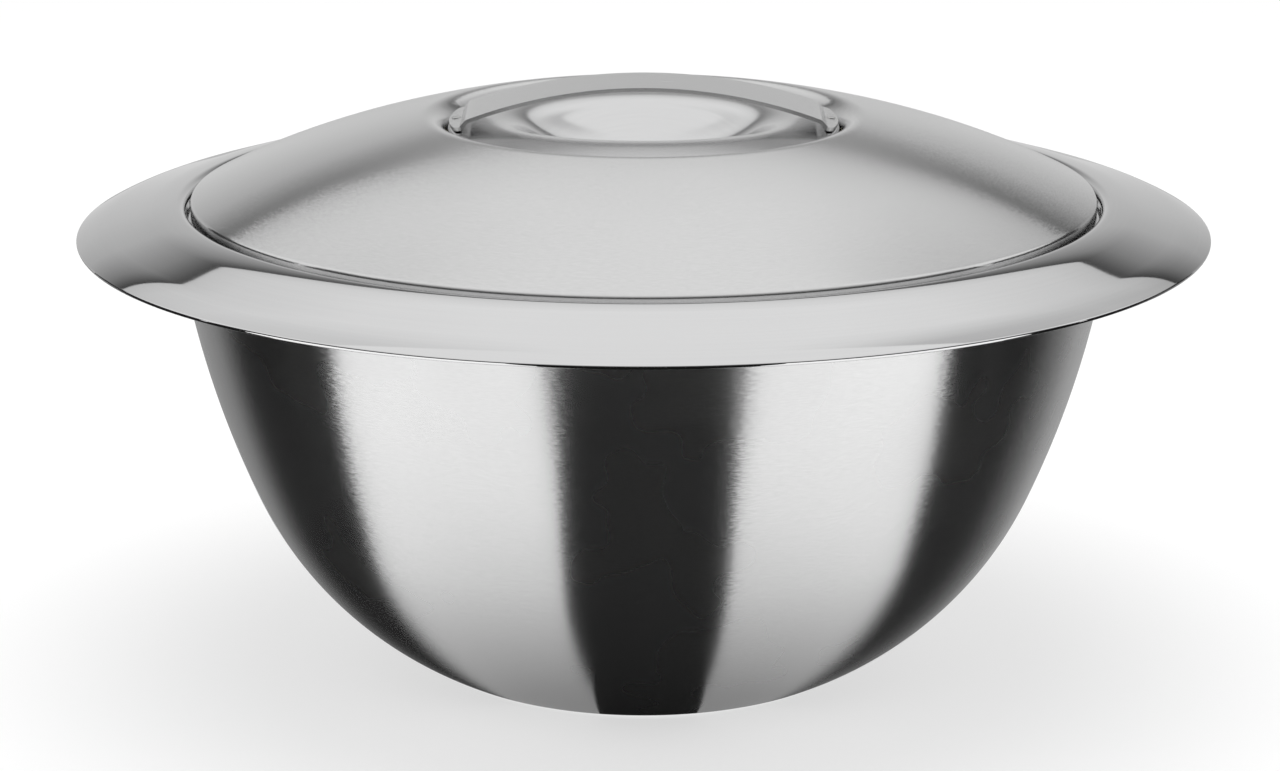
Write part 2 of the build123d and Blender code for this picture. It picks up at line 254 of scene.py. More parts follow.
def turn_round(bm, outside, steps=TURN_STEPS):
    """Spin a wire once about the axis and point the faces to the side of one direction."""
    bmesh.ops.spin(
        bm,
        geom=bm.verts[:] + bm.edges[:],
        cent=(0, 0, 0),
        axis=(0, 0, 1),
        angle=tau,
        steps=steps,
        use_merge=True,
    )
    bmesh.ops.remove_doubles(bm, verts=bm.verts[:], dist=MERGE_DISTANCE)
    bmesh.ops.recalc_face_normals(bm, faces=bm.faces[:])
    marker = max(bm.faces, key=lambda face: face.calc_center_median().dot(outside))
    if marker.normal.dot(outside) < 0:
        bmesh.ops.reverse_faces(bm, faces=bm.faces[:])
    print(len(bm.faces), "faces in the turned sheet")


UP = Vector((0, 0, 1))
DOWN = -UP
OUTWARD = Vector((1, 0, 0))
print("a full turn takes", TURN_STEPS, "steps")

# %% [markdown]
# ## The outer wall
# The satin outer wall is two arcs that run into each other, a soft corner and a flat base
# with its middle pressed up, so that the bowl stands on a ring. The wall hangs from the
# flange, so its arcs are worked out from the rim down, as they are in the frame.

# %% Outer wall
RIM = Vector((123.5, 118.0)) * MM
RIM_LEAN = 7.5
JOIN_LEAN = 23.7
UPPER_RADIUS = 252 * MM
BASE_EDGE = Vector((55.7, 0)) * MM
BASE_CORNER = 12 * MM
DIMPLE_FOOT = Vector((36, 0)) * MM
DIMPLE_TOP = Vector((33, 1.5)) * MM
DIMPLE_BEND = 2 * MM
PLUG_HOLE = Vector((6, 1.5)) * MM
SHELL_GAUGE = 0.8 * MM
SHELL_TOP_GAP = 0.6 * MM

upper_centre = RIM - polar(UPPER_RADIUS, -RIM_LEAN)
wall_join = upper_centre + polar(UPPER_RADIUS, -JOIN_LEAN)
base_chord = wall_join - BASE_EDGE
lower_radius = base_chord.length_squared / (2 * base_chord.dot(polar(1, -JOIN_LEAN)))
lower_centre = wall_join - polar(lower_radius, -JOIN_LEAN)


def on_arc(centre, radius, height):
    """Outer point of a circle at a height."""
    return Vector((centre.x + sqrt(radius**2 - (height - centre.y) ** 2), height))


shell_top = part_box("outer_shell")[1].z - SHELL_TOP_GAP
shell_section = draw_section(
    on_arc(upper_centre, UPPER_RADIUS, shell_top),
    [
        arc(wall_join, upper_centre),
        arc(BASE_EDGE, lower_centre, BASE_CORNER),
        line(DIMPLE_FOOT, DIMPLE_BEND),
        line(DIMPLE_TOP, DIMPLE_BEND),
        line(PLUG_HOLE),
    ],
)
turn_round(shell_section, OUTWARD)
outer_wall = finish_sheet(
    shell_section, "outer_wall", SHELL_GAUGE, "bowl", "outer_shell"
)
print("lower wall radius", round(lower_radius / MM, 2), "mm")

# %% [markdown]
# ## The inner bowl and its flange
# The food bowl, the seat for the lid and the broad flange are one pressing of heavier
# sheet. From the collar outward the flange rolls off to a plain slope and falls faster near
# its edge. These few degrees decide what a mirror shows: the S-shaped dark line at both ends
# of the flange comes from them. The cut edge is rounded nearly full.

# %% Inner bowl
BOWL_GAUGE = 1.2 * MM
WALL_GAP = 7.6 * MM
FLOOR_GAP = 9 * MM
SEAT_RISE = 4.5 * MM
SEAT_WIDTH = 6.6 * MM
FLANGE_WIDTH = 29 * MM
FLANGE_SLOPE = 16.5
FALL_SLOPE = 30
FALL_RADIUS = 40 * MM
SHOULDER_SLOPE = 3.5
SHOULDER_ROLL = 45 * MM
FLANGE_EDGE = 0.55 * MM
FLANGE_EDGE_SEGMENTS = 6
SHOULDER_BEND = 2.2 * MM
SEAT_BEND = 0.7 * MM
MOUTH_BEND = 2 * MM
FLOOR_BEND = 16 * MM
FLANGE_STEP = 0.7 * MM

inset = SHELL_GAUGE + WALL_GAP + BOWL_GAUGE
seat_height = RIM.y + SEAT_RISE
floor_height = SHELL_GAUGE + FLOOR_GAP + BOWL_GAUGE
mouth = on_arc(upper_centre, UPPER_RADIUS - inset, seat_height)
collar_radius = mouth.x + SEAT_WIDTH
flange_end = Vector((collar_radius + FLANGE_WIDTH, RIM.y + BOWL_GAUGE))
fall_centre = flange_end - polar(FALL_RADIUS, 90 - FALL_SLOPE)
fall_end = fall_centre + polar(FALL_RADIUS, 90 - FLANGE_SLOPE)
shoulder_spoke = polar(SHOULDER_ROLL, 90 - SHOULDER_SLOPE)
roll_spoke = polar(SHOULDER_ROLL, 90 - FLANGE_SLOPE)
roll_reach = collar_radius + roll_spoke.x - shoulder_spoke.x
slope_rise = (fall_end.x - roll_reach) * tan(radians(FLANGE_SLOPE))
roll_start = Vector((roll_reach, fall_end.y + slope_rise))
roll_centre = roll_start - roll_spoke
bowl_section = draw_section(
    flange_end,
    [
        arc(fall_end, fall_centre),
        line(roll_start),
        arc(roll_centre + shoulder_spoke, roll_centre, SHOULDER_BEND),
        line((collar_radius, seat_height), SEAT_BEND),
        line(mouth, MOUTH_BEND),
        arc(upper_centre + polar(UPPER_RADIUS - inset, -JOIN_LEAN), upper_centre),
        arc(on_arc(lower_centre, lower_radius - inset, floor_height), lower_centre, FLOOR_BEND),
        line((0, floor_height)),
    ],
    FLANGE_STEP,
)
turn_round(bowl_section, UP)
inner_bowl = finish_sheet(
    bowl_section, "bowl_and_flange", BOWL_GAUGE, "bowl", "inner_bowl",
    edge=FLANGE_EDGE, edge_segments=FLANGE_EDGE_SEGMENTS,
)
print("flange reaches", round(flange_end.x / MM, 1), "mm from the axis")

# %% [markdown]
# ## The lid's dome
# The lid's upper sheet starts as a short upright skirt inside the bowl's collar, turns over
# a tight bend, climbs in two gentle arcs and rolls down into a round opening for the
# handle's cup. It is drawn from the skirt inward.

# %% Lid dome
LID_GAUGE = 0.8 * MM
LID_GAP = 1.1 * MM
SEAT_CLEARANCE = 0.1 * MM
LID_EDGE_RISE = 10.4 * MM
LID_EDGE_SLOPE = 26.3
LID_EDGE_BEND = 1.3 * MM
FLANK_RADIUS = 232 * MM
CROWN_SLOPE = 15.7
OPENING_RADIUS = 52.3 * MM
OPENING_ROLL = 5.5 * MM
OPENING_COLLAR = 9 * MM

lid_radius = collar_radius - LID_GAP
lid_bottom = seat_height + SEAT_CLEARANCE
lid_edge = Vector((lid_radius, RIM.y + LID_EDGE_RISE))
flank_centre = lid_edge - polar(FLANK_RADIUS, 90 - LID_EDGE_SLOPE)
crown_join = flank_centre + polar(FLANK_RADIUS, 90 - CROWN_SLOPE)
crown_radius = crown_join.x / sin(radians(CROWN_SLOPE))
crown_centre = Vector((0, crown_join.y - crown_radius * cos(radians(CROWN_SLOPE))))
opening_top = crown_centre.y + sqrt(crown_radius**2 - OPENING_RADIUS**2)
dome_section = draw_section(
    (lid_radius, lid_bottom),
    [
        line(lid_edge, LID_EDGE_BEND),
        arc(crown_join, flank_centre),
        arc((OPENING_RADIUS, opening_top), crown_centre, OPENING_ROLL),
        line((OPENING_RADIUS, opening_top - OPENING_COLLAR)),
    ],
)
turn_round(dome_section, OUTWARD)
lid_dome = finish_sheet(dome_section, "lid_top", LID_GAUGE, "lid", "lid_dome")
print("crown radius", round(crown_radius / MM, 1), "mm")

# %% [markdown]
# ## The lid's underside
# A second sheet closes the lid from below: its rim is welded inside the skirt, and a
# shallow pan hangs into the bowl's mouth and keeps the lid in place. It only shows when the
# lid is lifted, so coarser steps will do.

# %% Lid underside
LINER_GAUGE = 0.6 * MM
WELD_CLEARANCE = 0.1 * MM
LINER_PLAY = 1.6 * MM
LINER_TURN_UP = 3 * MM
LINER_BEND = 1.5 * MM
PAN_DROP = 6 * MM
PAN_RISE = 5 * MM
PAN_BEND = 4 * MM
LINER_STEP = 4 * FINE_STEP

weld_radius = lid_radius - LID_GAUGE - WELD_CLEARANCE
pan_edge = Vector((mouth.x - LINER_PLAY, lid_bottom - PAN_DROP))
pan_radius = (pan_edge.x**2 + PAN_RISE**2) / (2 * PAN_RISE)
pan_top = Vector((0, pan_edge.y + PAN_RISE))
liner_section = draw_section(
    (weld_radius, lid_bottom + LINER_TURN_UP),
    [
        line((weld_radius, lid_bottom), LINER_BEND),
        line((pan_edge.x, lid_bottom), LINER_BEND),
        line(pan_edge, PAN_BEND),
        arc(pan_top, pan_top - Vector((0, pan_radius))),
    ],
    LINER_STEP,
)
turn_round(liner_section, DOWN)
lid_under = finish_sheet(
    liner_section, "lid_underside", LINER_GAUGE, "lid", "lid_liner"
)
print("pan hangs", round((lid_bottom - pan_edge.y) / MM, 1), "mm into the mouth")

# %% [markdown]
# ## The handle's cup
# Under the strap a round polished disc closes the lid's opening. An oval hollow for the
# fingers is pressed into it, and its lip is a soft roll. No single operator gives an oval
# hollow in a domed disc, so the form is written down first: a function says how far a point
# lies outside the dome, the hollow, or the roll between them.

# %% Form of the hollow
CUP_SINK = 3.8 * MM
CUP_CLEARANCE = 0.4 * MM
HOLLOW_HALF_LENGTH = 37.5 * MM
HOLLOW_HALF_WIDTH = 29 * MM
HOLLOW_DEPTH = 15 * MM
HOLLOW_LIFT = 16 * MM
HOLLOW_LIP = 18 * MM

cup_sphere = crown_radius - CUP_SINK
cup_apex = crown_centre.y + cup_sphere
cup_rim = OPENING_RADIUS - CUP_CLEARANCE
stretch = 1 / sqrt(1 - (HOLLOW_LIFT / (HOLLOW_DEPTH + HOLLOW_LIFT)) ** 2)
hollow_centre = Vector((0, 0, cup_apex + HOLLOW_LIFT))
hollow_axes = Vector((
    HOLLOW_HALF_LENGTH * stretch,
    HOLLOW_HALF_WIDTH * stretch,
    HOLLOW_DEPTH + HOLLOW_LIFT,
))


def outside_form(point):
    """How far a point lies outside the pressed form; zero on its upper face."""
    spoke = point - Vector((0, 0, crown_centre.y))
    above_disc = spoke.length - cup_sphere
    reach = point - hollow_centre
    scaled = Vector(a / b for a, b in zip(reach, hollow_axes))
    slope = Vector(a / b for a, b in zip(scaled, hollow_axes))
    into_hollow = scaled.length * (1 - scaled.length) / slope.length
    disc_part = HOLLOW_LIP + above_disc
    hollow_part = HOLLOW_LIP + into_hollow
    between = -spoke.normalized().dot(slope.normalized())
    beside_roll = disc_part < hollow_part * between or hollow_part < disc_part * between
    if beside_roll or disc_part <= 0 or hollow_part <= 0:
        return max(above_disc, into_hollow)
    square = disc_part**2 + hollow_part**2 - 2 * disc_part * hollow_part * between
    return sqrt(square / (1 - between**2)) - HOLLOW_LIP


print("hollow floor", round((cup_apex - HOLLOW_DEPTH) / MM, 1), "mm above the table")

# %% [markdown]
# ## Pressing the disc
# A radial line is spun into a flat disc, and each of its vertices drops onto the form. A
# boolean cut would leave uneven triangles along the lip, and polished steel would show them;
# here the rings of the disc stay even. A skirt goes down inside the lid's collar, and the
# edge between the two is rounded.

# %% Finger cup
CUP_STEP = 1.2 * MM
CUP_STEPS = 120
CUP_EDGE = 1.0 * MM
CUP_EDGE_SEGMENTS = 5
ROUND_PROFILE = 0.5
SEARCH_MARGIN = 1 * MM
HALVINGS = 22


def drop_to_form(vertex):
    """Lower a vertex onto the form by halving the height between floor and dome."""
    low = cup_apex - HOLLOW_DEPTH - SEARCH_MARGIN
    high = cup_apex + SEARCH_MARGIN
    for _ in range(HALVINGS):
        vertex.co.z = (low + high) / 2
        if outside_form(vertex.co) > 0:
            high = vertex.co.z
        else:
            low = vertex.co.z


cup_section = draw_section((cup_rim, cup_apex), [line((0, cup_apex))], CUP_STEP / STRAIGHT_STRETCH)
turn_round(cup_section, UP, CUP_STEPS)
for vertex in cup_section.verts:
    drop_to_form(vertex)
cup_edges = [edge for edge in cup_section.edges if edge.is_boundary]
cup_skirt = bmesh.ops.extrude_edge_only(cup_section, edges=cup_edges)["geom"]
skirt_drop = opening_top - OPENING_COLLAR - max(edge.verts[0].co.z for edge in cup_edges)
skirt_verts = [item for item in cup_skirt if isinstance(item, bmesh.types.BMVert)]
bmesh.ops.translate(cup_section, verts=skirt_verts, vec=(0, 0, skirt_drop))
bmesh.ops.bevel(
    cup_section,
    geom=cup_edges,
    offset=CUP_EDGE,
    segments=CUP_EDGE_SEGMENTS,
    profile=ROUND_PROFILE,
    affect="EDGES",
)
handle_cup = finish_sheet(
    cup_section, "finger_cup", LID_GAUGE, "lid", "handle_cup", smooth_levels=1
)
print("skirt of the cup goes", round(-skirt_drop / MM, 1), "mm down")

# %% [markdown]
# ## The strap
# The handle is one strip of steel: a low arch, waisted in the middle, that steps down to a
# short foot at each end. It is the same left and right, so half of its side view is drawn as
# a section and mirrored.

# %% Side view of the strap
STRAP_RISE = 5.85 * MM
STRAP_END_RISE = 1.6 * MM
STRAP_END_GAP = 1.0 * MM
STRAP_FOOT = 3.7 * MM
STRAP_JOGGLE = 1.6 * MM
STRAP_FOLD = 1.2 * MM


def disc_height(radius):
    """Height of the cup's disc at a distance from the axis."""
    return crown_centre.y + sqrt(cup_sphere**2 - radius**2)


strap_end = OPENING_RADIUS - STRAP_END_GAP
heel_x = strap_end - STRAP_FOOT
spring_x = heel_x - STRAP_JOGGLE
seat_x = (heel_x + strap_end) / 2
seat_fall = -seat_x / (disc_height(seat_x) - crown_centre.y)
crown = Vector((0, disc_height(0) + STRAP_RISE))
spring = Vector((spring_x, disc_height(spring_x) + STRAP_END_RISE))
heel = Vector((heel_x, disc_height(seat_x) + seat_fall * (heel_x - seat_x)))
toe = Vector((strap_end, disc_height(seat_x) + seat_fall * (strap_end - seat_x)))
sag = crown.y - spring.y
arch_radius = (spring.x**2 + sag**2) / (2 * sag)
arch_centre = crown - Vector((0, arch_radius))
strap = draw_section(
    crown,
    [arc(spring, arch_centre, STRAP_FOLD), line(heel, STRAP_FOLD), line(toe)],
)
bmesh.ops.mirror(
    strap,
    geom=strap.verts[:] + strap.edges[:],
    axis="X",
    merge_dist=MERGE_DISTANCE,
)
print("arch radius", round(arch_radius / MM, 1), "mm")

# %% [markdown]
# ## The strap seen from above
# The side view is extruded across in strips, two units wide in all, and the strips are then
# pulled to the real plan: hollow sides, and ends that follow the round disc. Strips near the
# sides are narrower, because the small corners of the feet need them there.

# %% Plan of the strap
STRAP_GAUGE = 1.0 * MM
STRAP_WAIST = 22.6 * MM
STRAP_END_WIDTH = 27.6 * MM
STRAP_CORNER = 1.6 * MM
STRAP_STRIPS = 24

taper = (STRAP_END_WIDTH - STRAP_WAIST) / 2
side_radius = (spring_x**2 + taper**2) / (2 * taper)


def half_width(x):
    """Half of the strap's width at a distance along it, with its hollow sides."""
    return STRAP_WAIST / 2 + side_radius - sqrt(side_radius**2 - x**2)


edges = strap.edges[:]
for vertex in strap.verts:
    vertex.co.y = -1
for _ in range(STRAP_STRIPS):
    made = bmesh.ops.extrude_edge_only(strap, edges=edges)["geom"]
    moved = [item for item in made if isinstance(item, bmesh.types.BMVert)]
    edges = [item for item in made if isinstance(item, bmesh.types.BMEdge)]
    edges = [edge for edge in edges if all(vertex in moved for vertex in edge.verts)]
    bmesh.ops.translate(strap, verts=moved, vec=(0, 2 / STRAP_STRIPS, 0))
for vertex in strap.verts:
    across = sin(vertex.co.y * pi / 2)
    reach = abs(vertex.co.x)
    vertex.co.y = across * half_width(reach)
    if reach > heel_x:
        round_end = sqrt(strap_end**2 - vertex.co.y**2)
        into_corner = max(0, abs(vertex.co.y) - half_width(reach) + STRAP_CORNER)
        into_corner = min(into_corner, STRAP_CORNER)
        round_end -= STRAP_CORNER - sqrt(STRAP_CORNER**2 - into_corner**2)
        share = (reach - heel_x) / (strap_end - heel_x)
        new_reach = heel_x + share * (round_end - heel_x)
        vertex.co.z += seat_fall * (new_reach - reach)
        vertex.co.x *= new_reach / reach
bmesh.ops.recalc_face_normals(strap, faces=strap.faces[:])
if max(strap.faces, key=lambda face: face.calc_area()).normal.z > 0:
    bmesh.ops.reverse_faces(strap, faces=strap.faces[:])
handle_strap = finish_sheet(
    strap, "strap_handle", STRAP_GAUGE, "lid", "handle_strap"
)
print("strap is", round(2 * half_width(0) / MM, 1), "mm wide at the waist")

# %% [markdown]
# ## Tools for finishes
# All finishes are made of nodes and read Object coordinates, so that they stay on the sheet
# when the lid is lifted. Brushed steel needs one more thing: directions round the axis.
# A few short helpers keep the node trees readable.

# %% Node helpers
LEAST_RADIUS = 1 * MM


def start_material(name):
    """A material with its node tree and its main shader."""
    material = bpy.data.materials.new(name)
    material.use_nodes = True
    return material, material.node_tree, material.node_tree.nodes["Principled BSDF"]


def add(tree, kind, **settings):
    """A new node with some of its settings."""
    made = tree.nodes.new(kind)
    for setting, value in settings.items():
        setattr(made, setting, value)
    return made


def feed(tree, socket, value):
    """Link a socket to another, or set it to a plain value."""
    if isinstance(value, bpy.types.NodeSocket):
        tree.links.new(value, socket)
    else:
        socket.default_value = value


def calc(tree, operation, first, second=0.0):
    """A Math node of two values."""
    made = add(tree, "ShaderNodeMath", operation=operation)
    feed(tree, made.inputs[0], first)
    feed(tree, made.inputs[1], second)
    return made.outputs[0]


def combine(tree, x, y, z):
    """A vector of three values."""
    made = add(tree, "ShaderNodeCombineXYZ")
    for socket, value in zip(made.inputs, (x, y, z)):
        feed(tree, socket, value)
    return made.outputs[0]


def noise(tree, vector, detail):
    """A noise value between 0 and 1 at a vector."""
    made = add(tree, "ShaderNodeTexNoise")
    made.inputs["Scale"].default_value = 1
    made.inputs["Detail"].default_value = detail
    feed(tree, made.inputs["Vector"], vector)
    return made.outputs[0]


def spread(tree, value, low, high):
    """A value from 0 to 1, spread over another range."""
    made = add(tree, "ShaderNodeMapRange")
    feed(tree, made.inputs["Value"], value)
    made.inputs["To Min"].default_value = low
    made.inputs["To Max"].default_value = high
    return made.outputs[0]


def round_axis(tree):
    """The place on a piece: its spot, height, distance from the axis and direction out."""
    spot = add(tree, "ShaderNodeTexCoord").outputs["Object"]
    parts = add(tree, "ShaderNodeSeparateXYZ")
    feed(tree, parts.inputs[0], spot)
    x, y, z = parts.outputs
    flat = add(tree, "ShaderNodeVectorMath", operation="LENGTH")
    feed(tree, flat.inputs[0], combine(tree, x, y, 0.0))
    radius = calc(tree, "MAXIMUM", flat.outputs["Value"], LEAST_RADIUS)
    out_x = calc(tree, "DIVIDE", x, radius)
    out_y = calc(tree, "DIVIDE", y, radius)
    return {"spot": spot, "height": z, "radius": radius, "out_x": out_x, "out_y": out_y}


def round_tangent(tree, where):
    """The direction round the axis at a place."""
    return combine(tree, calc(tree, "MULTIPLY", where["out_y"], -1.0), where["out_x"], 0.0)


def clouds(tree, where, scale, detail):
    """Slow noise over a piece, with a number of clouds to the metre."""
    sized = add(tree, "ShaderNodeVectorMath", operation="SCALE")
    feed(tree, sized.inputs[0], where["spot"])
    sized.inputs["Scale"].default_value = scale
    return noise(tree, sized.outputs[0], detail)


def tilted_normal(tree, direction, amount):
    """The surface normal, leaned along a direction by an amount."""
    lean = add(tree, "ShaderNodeVectorMath", operation="SCALE")
    feed(tree, lean.inputs[0], direction)
    feed(tree, lean.inputs["Scale"], amount)
    total = add(tree, "ShaderNodeVectorMath", operation="ADD")
    feed(tree, total.inputs[0], add(tree, "ShaderNodeNewGeometry").outputs["Normal"])
    feed(tree, total.inputs[1], lean.outputs[0])
    unit = add(tree, "ShaderNodeVectorMath", operation="NORMALIZE")
    feed(tree, unit.inputs[0], total.outputs[0])
    return unit.outputs[0]


def tint(tree, value, dark, light):
    """A colour between two, by a value from 0 to 1."""
    ramp = add(tree, "ShaderNodeValToRGB")
    ramp.color_ramp.elements[0].color = (*dark, 1)
    ramp.color_ramp.elements[1].color = (*light, 1)
    feed(tree, ramp.inputs[0], value)
    return ramp.outputs[0]


print("node helpers ready")

# %% [markdown]
# ## Satin steel
# The bowl and the lid were brushed while they turned, so every scratch runs round the axis.
# Light then spreads across the scratches and stays sharp along them, which draws the tall
# bands of a brushed bowl. The shader's anisotropy does that, with a tangent round the axis.
# Fine noise, drawn out along the scratches, tips the normal a little sideways and frays the
# edges of the bands, as on the real sheet.

# %% Satin finish
STEEL_DARK = (0.62, 0.62, 0.62)
STEEL_LIGHT = (0.71, 0.71, 0.71)
STREAK_ROUND = 60
STREAK_ACROSS = 2600
STREAK_DETAIL = 3
SATIN_CLOUDS = 30
SATIN_CLOUD_DETAIL = 2
SATIN_WANDER = 0.03
SATIN_ANISOTROPY = 0.95
QUARTER_TURN = 0.25


def satin_steel(name, slope, roughness, streak_tilt):
    """Steel brushed round the axis. The slope says how height runs along the section."""
    material, tree, shader = start_material(name)
    where = round_axis(tree)
    across = calc(tree, "ADD", where["radius"], calc(tree, "MULTIPLY", where["height"], slope))
    streak_place = combine(
        tree,
        calc(tree, "MULTIPLY", where["out_x"], STREAK_ROUND),
        calc(tree, "MULTIPLY", where["out_y"], STREAK_ROUND),
        calc(tree, "MULTIPLY", across, STREAK_ACROSS),
    )
    streak = noise(tree, streak_place, STREAK_DETAIL)
    cloud = clouds(tree, where, SATIN_CLOUDS, SATIN_CLOUD_DETAIL)
    tangent = round_tangent(tree, where)
    lean = spread(tree, streak, -streak_tilt, streak_tilt)
    sheen = spread(tree, cloud, roughness - SATIN_WANDER, roughness + SATIN_WANDER)
    feed(tree, shader.inputs["Base Color"], tint(tree, streak, STEEL_DARK, STEEL_LIGHT))
    feed(tree, shader.inputs["Roughness"], sheen)
    feed(tree, shader.inputs["Normal"], tilted_normal(tree, tangent, lean))
    feed(tree, shader.inputs["Tangent"], tangent)
    shader.inputs["Metallic"].default_value = 1
    shader.inputs["Anisotropic"].default_value = SATIN_ANISOTROPY
    shader.inputs["Anisotropic Rotation"].default_value = QUARTER_TURN
    return material


def dress(piece, material):
    """Give a piece one material, in place of what it had."""
    piece.data.materials.clear()
    piece.data.materials.append(material)


dress(outer_wall, satin_steel("satin_bowl_steel", slope=1.0, roughness=0.27, streak_tilt=0.03))
dress(lid_dome, satin_steel("satin_lid_steel", slope=-1.0, roughness=0.18, streak_tilt=0.025))
dress(lid_under, satin_steel("satin_liner_steel", slope=0.5, roughness=0.36, streak_tilt=0.03))
print("satin on", outer_wall.name, lid_dome.name, lid_under.name)

# %% [markdown]
# ## Polished steel
# The flange is polished to a mirror, and the cup nearly so. Even a mirror is not perfect: a
# wheel leaves the faintest rings, and the sheet is a little cloudy here and there, so the
# colour and the roughness wander slightly. Inside, where food goes, the bowl is only finely
# brushed, and the change of finish follows the distance from the axis.

# %% Polished finish
FLANGE_ROUGHNESS = (0.03, 0.06)
CUP_ROUGHNESS = (0.15, 0.2)
INSIDE_ROUGHNESS = 0.3
POLISH_DARK = (0.655, 0.655, 0.66)
POLISH_LIGHT = (0.69, 0.69, 0.69)
POLISH_CLOUDS = 55
POLISH_CLOUD_DETAIL = 3
RINGS_ACROSS = 1500
RING_DETAIL = 2
POLISH_ANISOTROPY = 0.6


def polished_steel(name, polish, satin_inside):
    """Mirror steel with a range of roughness, and a finely brushed area inside a radius."""
    material, tree, shader = start_material(name)
    where = round_axis(tree)
    across = calc(tree, "MULTIPLY", where["radius"], RINGS_ACROSS)
    rings = noise(tree, combine(tree, where["out_x"], where["out_y"], across), RING_DETAIL)
    inside = calc(tree, "LESS_THAN", where["radius"], satin_inside)
    mirror = spread(tree, clouds(tree, where, POLISH_CLOUDS, POLISH_CLOUD_DETAIL), *polish)
    roughness = calc(tree, "ADD", mirror, calc(tree, "MULTIPLY", inside, INSIDE_ROUGHNESS))
    feed(tree, shader.inputs["Base Color"], tint(tree, rings, POLISH_DARK, POLISH_LIGHT))
    feed(tree, shader.inputs["Roughness"], roughness)
    feed(tree, shader.inputs["Tangent"], round_tangent(tree, where))
    shader.inputs["Metallic"].default_value = 1
    shader.inputs["Anisotropic"].default_value = POLISH_ANISOTROPY
    shader.inputs["Anisotropic Rotation"].default_value = QUARTER_TURN
    return material


dress(inner_bowl, polished_steel("polished_bowl_steel", FLANGE_ROUGHNESS, satin_inside=mouth.x))
dress(handle_cup, polished_steel("polished_cup_steel", CUP_ROUGHNESS, satin_inside=0.0))
print("polish on", inner_bowl.name, handle_cup.name)

# %% [markdown]
# ## The strap, the rivets and what hides inside
# The strap was drawn through a fine belt lengthwise, so its grain runs along x. The rivets
# are the same steel, unpolished. Inside, foam fills both hollows and a plug closes the
# filling hole under the base: they keep the frame's own meshes, with finishes of their own.

# %% Strap, rivets, plug and foam
GRAIN_DETAIL = 3
GRAIN_STRENGTH = 0.15
GRAIN_DEPTH = 0.02 * MM


def grained(name, dark, light, scale, roughness, metallic):
    """A finish with a grain of its own scale along each axis."""
    material, tree, shader = start_material(name)
    spot = add(tree, "ShaderNodeTexCoord").outputs["Object"]
    sized = add(tree, "ShaderNodeVectorMath", operation="MULTIPLY")
    feed(tree, sized.inputs[0], spot)
    sized.inputs[1].default_value = scale
    grain = noise(tree, sized.outputs[0], GRAIN_DETAIL)
    bump = add(tree, "ShaderNodeBump")
    bump.inputs["Strength"].default_value = GRAIN_STRENGTH
    bump.inputs["Distance"].default_value = GRAIN_DEPTH
    feed(tree, bump.inputs["Height"], grain)
    feed(tree, shader.inputs["Base Color"], tint(tree, grain, dark, light))
    feed(tree, shader.inputs["Roughness"], spread(tree, grain, *roughness))
    feed(tree, shader.inputs["Normal"], bump.outputs[0])
    shader.inputs["Metallic"].default_value = metallic
    return material


strap_finish = grained(
    "strap_steel",
    dark=(0.66, 0.66, 0.66),
    light=(0.73, 0.73, 0.73),
    scale=(90, 2400, 90),
    roughness=(0.2, 0.3),
    metallic=1,
)
rivet_finish = grained(
    "rivet_steel",
    dark=(0.5, 0.5, 0.5),
    light=(0.62, 0.62, 0.61),
    scale=(900, 900, 900),
    roughness=(0.25, 0.4),
    metallic=1,
)
plug_finish = grained(
    "plug_plastic",
    dark=(0.02, 0.02, 0.022),
    light=(0.04, 0.04, 0.042),
    scale=(700, 700, 700),
    roughness=(0.45, 0.6),
    metallic=0,
)
foam_finish = grained(
    "rigid_foam",
    dark=(0.72, 0.64, 0.44),
    light=(0.88, 0.81, 0.6),
    scale=(450, 450, 450),
    roughness=(0.8, 0.95),
    metallic=0,
)
dress(handle_strap, strap_finish)
dress(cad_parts["handle_rivets"], rivet_finish)
dress(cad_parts["filling_plug"], plug_finish)
for node in ("bowl_insulation", "lid_insulation"):
    dress(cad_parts[node], foam_finish)
print("frame meshes kept: rivets, plug and foam")

# %% [markdown]
# ## The studio
# Steel shows nothing but its surroundings. A white room alone gives a milky bowl, so a
# photographer stands dark flags between bright panels: the flags draw the tall black bands.
# The cards that draw this bowl's bands lie on the floor, because its wall looks down. They
# show in the steel only: the camera, the shadows and the floor's light pass through them.

# %% Tools for cards
CARD_TURN_STEP = 3
HALFWAY = 0.5
EVEN_SIDES = ((-1, 1), (1, 1))


def glow(name, level):
    """A material that glows at an even level, with its node tree and its lamp."""
    material, tree, shader = start_material(name)
    tree.nodes.remove(shader)
    lamp = add(tree, "ShaderNodeEmission")
    lamp.inputs["Strength"].default_value = level
    feed(tree, tree.nodes["Material Output"].inputs["Surface"], lamp.outputs[0])
    return material, tree, lamp


def stand_card(name, bm, material):
    """Put a card in the studio that only the steel sees."""
    mesh = bpy.data.meshes.new(name)
    bm.to_mesh(mesh)
    bm.free()
    card = bpy.data.objects.new(name, mesh)
    bpy.context.scene.collection.objects.link(card)
    card.visible_camera = False
    card.visible_diffuse = False
    card.visible_shadow = False
    card.visible_transmission = False
    dress(card, material)
    return card


def spun_card(name, first, last, start, end, material):
    """A card swept by an edge between two (reach, height), over azimuths from the front."""
    bm = bmesh.new()
    ends = [bm.verts.new((0, -start[0], start[1])), bm.verts.new((0, -end[0], end[1]))]
    bm.edges.new(ends)
    first_turn = Matrix.Rotation(radians(first), 3, "Z")
    bmesh.ops.rotate(bm, verts=ends, cent=(0, 0, 0), matrix=first_turn)
    bmesh.ops.spin(
        bm,
        geom=bm.verts[:] + bm.edges[:],
        cent=(0, 0, 0),
        axis=(0, 0, 1),
        angle=radians(last - first),
        steps=ceil((last - first) / CARD_TURN_STEP),
    )
    return stand_card(name, bm, material)


